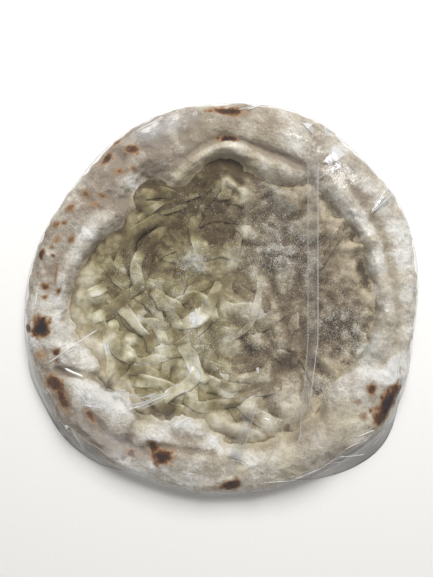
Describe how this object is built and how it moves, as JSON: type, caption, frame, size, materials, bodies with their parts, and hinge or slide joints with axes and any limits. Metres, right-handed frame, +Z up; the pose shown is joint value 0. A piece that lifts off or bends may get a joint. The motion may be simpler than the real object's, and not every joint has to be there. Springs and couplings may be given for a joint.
{
  "type": "pizza base",
  "caption": "Round par-baked pizza base with a thick lumpy rim and soft onion strips in its shallow well, sealed in clear shrink film.",
  "frame": {"origin": "middle of the film's flat underside", "axes": "+Z up through the base, +X to the right and +Y to the top of the picture"},
  "size_m": [0.2918, 0.2932, 0.0244],
  "materials": {
    "dough": "floury pale baked dough with brown and black scorch spots",
    "onion": "soft cooked onion, oily, frosted on one side",
    "film": "clear shrink film"
  },
  "bodies": {
    "root": {"crust": "dough", "onion_topping": "onion", "film_wrap": "film"}
  },
  "joints": []
}
